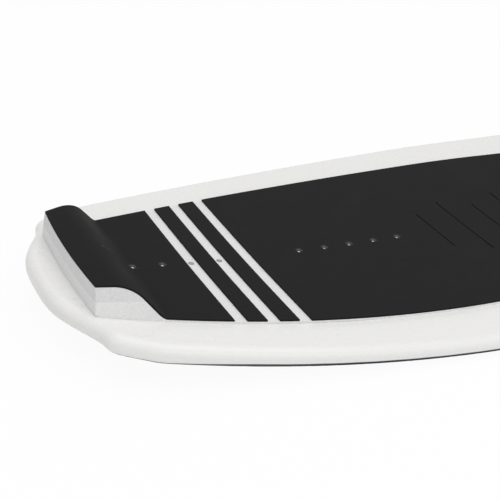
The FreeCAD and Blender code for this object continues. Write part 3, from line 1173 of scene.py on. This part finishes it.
    def tail_stations(self, end: float) -> list[float]:
        """Stations of the tail sheet, close together where it bends.

        Args:
            end: the last station.

        Returns:
            The stations from back to front.
        """
        kick = self.kick
        bend = kick.arc_start + kick.shoulder * math.sin(kick.turn)
        places = [kick.back(kick.top(0.0))]
        for start, stop, count in ((places[0], kick.arc_start, 8), (kick.arc_start, bend, 14),
                                   (bend, kick.sweep_start, 6), (kick.sweep_start, kick.sweep_end, 14),
                                   (kick.sweep_end, end, 22)):
            places += [start + (stop - start) * i / count for i in range(1, count + 1)]
        return places

    def block(self, name: str, lower: Callable[[float, float], float],
              upper: Callable[[float, float], float], end: float) -> bpy.types.Object:
        """A layer of the kick's foam between two surfaces.

        Args:
            name: name of the new object.
            lower: height of its underside at (station, offset).
            upper: height of its upper face at (station, offset).
            end: its front station.

        Returns:
            The finished piece.
        """
        kick = self.kick
        start = self.plan.back_x
        count = 30
        rows = []
        for i in range(count + 1):
            x = start + (end - start) * i / count
            row = []
            for side in self.spread():
                pair = []
                for surface in (lower, upper):
                    z = surface(x, 0.0)
                    at = max(self.plan.bowed(x, side), kick.back(z, side))
                    y = side * min(kick.wall(at, z), self.plan.side(max(at, self.plan.back_x)))
                    pair.append(self.form.point(at, y, surface(at, y)))
                row.append(tuple(pair))
            rows.append(row)
        piece = slab_from_rows(name, rows)
        soften(piece, self.seam, 1)
        return piece

    def blocks(self) -> tuple[bpy.types.Object, bpy.types.Object]:
        """The pale lower and grey upper foam of the kick.

        Returns:
            The two finished pieces.
        """
        kick = self.kick
        split = kick.level + kick.split

        def floor(x: float, y: float) -> float:
            return self.form.deck(x, y) + self.glue + self.base

        def under_sheet(x: float, y: float) -> float:
            return max(kick.top(x, self.sheet), floor(x, y))

        def middle(x: float, y: float) -> float:
            return min(split, under_sheet(x, y))

        hollow = kick.foot_radius + self.sheet
        ramp_end = kick.sweep_centre[0] + hollow * math.sin(math.atan(kick.pad_slope))
        split_end = kick.foot + (split - kick.foot_z + self.sheet / math.cos(kick.turn)) / kick.slope
        lower = self.block("Kick_Lower_Foam", floor, middle, ramp_end)
        upper = self.block("Kick_Upper_Foam", lambda x, y: split, under_sheet, split_end)
        return lower, upper

    def build(self) -> list[tuple[bpy.types.Object, Slot, tuple[str, ...]]]:
        """Model every layer.

        Returns:
            (piece, its slot, the CAD nodes that it stands for).
        """
        lower, upper = self.blocks()
        return [(self.pale_base(), Slot.PALE_FOAM, ("pad_base",)),
                (self.tail(), Slot.BLACK_FOAM, ("pad_tail",)),
                (self.strip("Pad_Strip_Rear_Sheet", "pad_strip_rear"),
                 Slot.BLACK_FOAM, ("pad_strip_rear",)),
                (self.strip("Pad_Strip_Front_Sheet", "pad_strip_front"),
                 Slot.BLACK_FOAM, ("pad_strip_front",)),
                (self.front(), Slot.BLACK_FOAM, ("pad_front",)),
                (lower, Slot.PALE_FOAM, ("kick_block_lower",)),
                (upper, Slot.GREY_FOAM, ("kick_block_upper",))]


# ---------------------------------------------------------------- studio

@dataclass
class Studio:
    """A pale floor, a soft sky and two large soft lamps."""

    floor_size: float = 14.0
    floor_gap: float = 0.0005
    target: Vector = field(default_factory=lambda: Vector((-0.2, 0.0, 0.02)))
    sky: float = 0.56
    shadow_share: float = 0.05
    key_power: float = 36.0
    fill_power: float = 9.0

    @staticmethod
    def seen_or_lit(tree: bpy.types.NodeTree, seen: bpy.types.Node, lit: bpy.types.Node,
                    surface: bpy.types.NodeSocket) -> None:
        """Show one shader to the eye and in reflections, and light the board with another.

        Args:
            tree: the nodes to add to.
            seen: the shader for camera, glossy and transmitted rays.
            lit: the shader for all other rays.
            surface: where the choice goes.
        """
        path = tree.nodes.new("ShaderNodeLightPath")
        rays = path.outputs["Is Camera Ray"]
        for name in ("Is Glossy Ray", "Is Transmission Ray"):
            both = tree.nodes.new("ShaderNodeMath")
            both.operation = "MAXIMUM"
            tree.links.new(rays, both.inputs[0])
            tree.links.new(path.outputs[name], both.inputs[1])
            rays = both.outputs[0]
        choice = tree.nodes.new("ShaderNodeMixShader")
        tree.links.new(rays, choice.inputs["Fac"])
        tree.links.new(lit.outputs[0], choice.inputs[1])
        tree.links.new(seen.outputs[0], choice.inputs[2])
        tree.links.new(choice.outputs[0], surface)

    def floor(self) -> bpy.types.Object:
        """A white floor that keeps a faint shadow.

        Returns:
            The floor.
        """
        clear_selection()
        level = CAD_BOX[0][2] - self.floor_gap
        bpy.ops.mesh.primitive_plane_add(size=self.floor_size, location=(0.0, 0.0, level))
        plane = DeckPad.settled(bpy.context.object)
        plane.name = "Studio_Floor"
        material = bpy.data.materials.new("Studio_Floor_Paper")
        material.use_nodes = True
        tree = material.node_tree
        tree.nodes.clear()
        output = tree.nodes.new("ShaderNodeOutputMaterial")
        paper = tree.nodes.new("ShaderNodeBsdfDiffuse")
        paper.inputs["Color"].default_value = (0.93, 0.93, 0.93, 1.0)
        glow = tree.nodes.new("ShaderNodeEmission")
        glow.inputs["Strength"].default_value = 1.0
        seen = tree.nodes.new("ShaderNodeMixShader")
        seen.inputs["Fac"].default_value = self.shadow_share
        tree.links.new(glow.outputs[0], seen.inputs[1])
        tree.links.new(paper.outputs[0], seen.inputs[2])
        self.seen_or_lit(tree, seen, paper, output.inputs["Surface"])
        plane.data.materials.append(material)
        return plane

    def world(self) -> None:
        """A plain white sky that gives most of the light."""
        world = bpy.data.worlds.new("Studio_Sky")
        bpy.context.scene.world = world
        world.use_nodes = True
        tree = world.node_tree
        light = tree.nodes["Background"]
        light.inputs["Color"].default_value = (1.0, 1.0, 1.0, 1.0)
        light.inputs["Strength"].default_value = self.sky
        white = tree.nodes.new("ShaderNodeBackground")
        white.inputs["Color"].default_value = (1.0, 1.0, 1.0, 1.0)
        white.inputs["Strength"].default_value = 1.0
        self.seen_or_lit(tree, white, light, tree.nodes["World Output"].inputs["Surface"])

    def lamp(self, name: str, place: Vector, size: float, power: float) -> None:
        """A square soft lamp aimed at the board.

        Args:
            name: the lamp's name.
            place: where it hangs.
            size: length of its side.
            power: its power in watts.
        """
        data = bpy.data.lights.new(name, "AREA")
        data.size = size
        data.energy = power
        lamp = bpy.data.objects.new(name, data)
        bpy.context.scene.collection.objects.link(lamp)
        lamp.location = place
        lamp.rotation_euler = (self.target - place).to_track_quat("-Z", "Y").to_euler()

    def build(self) -> None:
        """Set up the floor, the sky and the lamps."""
        self.floor()
        self.world()
        self.lamp("Top_Lamp", Vector((-0.3, -0.5, 2.9)), 2.6, self.key_power)
        self.lamp("Side_Lamp", Vector((-0.6, -2.6, 1.1)), 1.8, self.fill_power)


@dataclass
class Viewpoint:
    """The camera: where it stands, how it turns and its lens."""

    place: tuple[float, float, float] = (-1.046, -1.0516, 0.7587)
    yaw: float = 29.61
    pitch: float = 30.36
    roll: float = 5.49
    lens: float = 77.5
    sensor: float = 36.0

    def build(self) -> bpy.types.Object:
        """Make the scene's camera.

        Returns:
            The camera.
        """
        data = bpy.data.cameras.new("Camera")
        data.lens = self.lens
        data.sensor_width = self.sensor
        data.clip_start = 0.01
        camera = bpy.data.objects.new("Camera", data)
        bpy.context.scene.collection.objects.link(camera)
        turn = (Matrix.Rotation(math.radians(-self.yaw), 4, "Z")
                @ Matrix.Rotation(math.radians(90.0 - self.pitch), 4, "X")
                @ Matrix.Rotation(math.radians(self.roll), 4, "Z"))
        camera.matrix_world = Matrix.Translation(self.place) @ turn
        bpy.context.scene.camera = camera
        return camera


# ---------------------------------------------------------------- assembly

FINISHES = {
    "white_gloss": MouldedGloss("White_Gloss_Laminate", (0.865, 0.86, 0.85)),
    "rail_gloss": TuckedGloss("White_Gloss_Rail", (0.865, 0.86, 0.85)),
    "navy_gloss": MouldedGloss("Navy_Gloss_Laminate", (0.016, 0.021, 0.034), 0.5, 0.12, 0.0),
    "black_foam": BrushedFoam("Black_Brushed_Foam", (0.0098, 0.0098, 0.0101)),
    # painted highlight: the dimples' and slit's faces are lighter than the black foam, besides their real
    # soft gloss
    "black_dimple_painted_highlight": PressedFoamPaintedLight("Black_Dimple_Painted_Highlight", (0.02, 0.02, 0.0205)),
    # painted shade: the channel dimples' faces are dark grey, standing for the shadow in the hollows of the
    # pale foam
    "pale_dimple_painted_shade": PressedFoamPaintedLight("Pale_Dimple_Painted_Shade", (0.3, 0.3, 0.3)),
    "pale_foam": CutFoam("Pale_Cut_Foam", (0.82, 0.82, 0.82)),
    "grey_foam": CutFoam("Grey_Cut_Foam", (0.74, 0.74, 0.75)),
    "core_foam": BeadFoam("White_Bead_Foam", (0.85, 0.83, 0.76)),
    "dense_foam": CutFoam("Dense_Insert_Foam", (0.55, 0.42, 0.2), 0.1, 0.0012),
    "stringer_wood": SawnWood("Sawn_Stringer", (0.55, 0.4, 0.24)),
    "glass_cloth": WovenGlass("Wetted_Glass_Cloth", (0.75, 0.77, 0.72)),
    "adhesive_film": GlueFilm("Clear_Glue_Film", (0.8, 0.78, 0.7)),
    "box_plastic": MouldedNylon("Black_Moulded_Nylon", (0.03, 0.03, 0.033)),
    "screw_steel": TurnedSteel("Turned_Steel", (0.55, 0.55, 0.56)),
}


def dress_nodes(materials: dict[str, bpy.types.Material]) -> None:
    """Give every CAD node the finish of its slot.

    Args:
        materials: material of each slot.
    """
    for part in frame["record"]["subparts"]:
        node = frame["nodes"][part["node"]]
        finish = "rail_gloss" if part["node"].startswith("rail_") else part["material_slot"]
        for slot in node.material_slots:
            slot.material = materials[finish]
        LOG.info("node %s wears %s", part["node"], finish)


def main() -> None:
    """Build the pieces, dress everything and set up the studio."""
    logging.basicConfig(level=logging.INFO, format="%(name)s: %(message)s")
    bpy.context.scene.view_settings.view_transform = "Standard"
    Viewpoint().build()
    materials = {slot: finish.material() for slot, finish in FINISHES.items()}
    dress_nodes(materials)
    form = BoardForm()
    plan = PadPlan(form)
    pad = DeckPad(form, plan, KickForm(form, plan), materials)
    for piece, slot, nodes in pad.build():
        if not piece.data.materials:
            piece.data.materials.append(materials[slot.value])
        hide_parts(*nodes)
        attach(piece, "root")
        LOG.info("piece %s: %d faces", piece.name, len(piece.data.polygons))
    Studio().build()


if __name__ == "__main__":
    main()
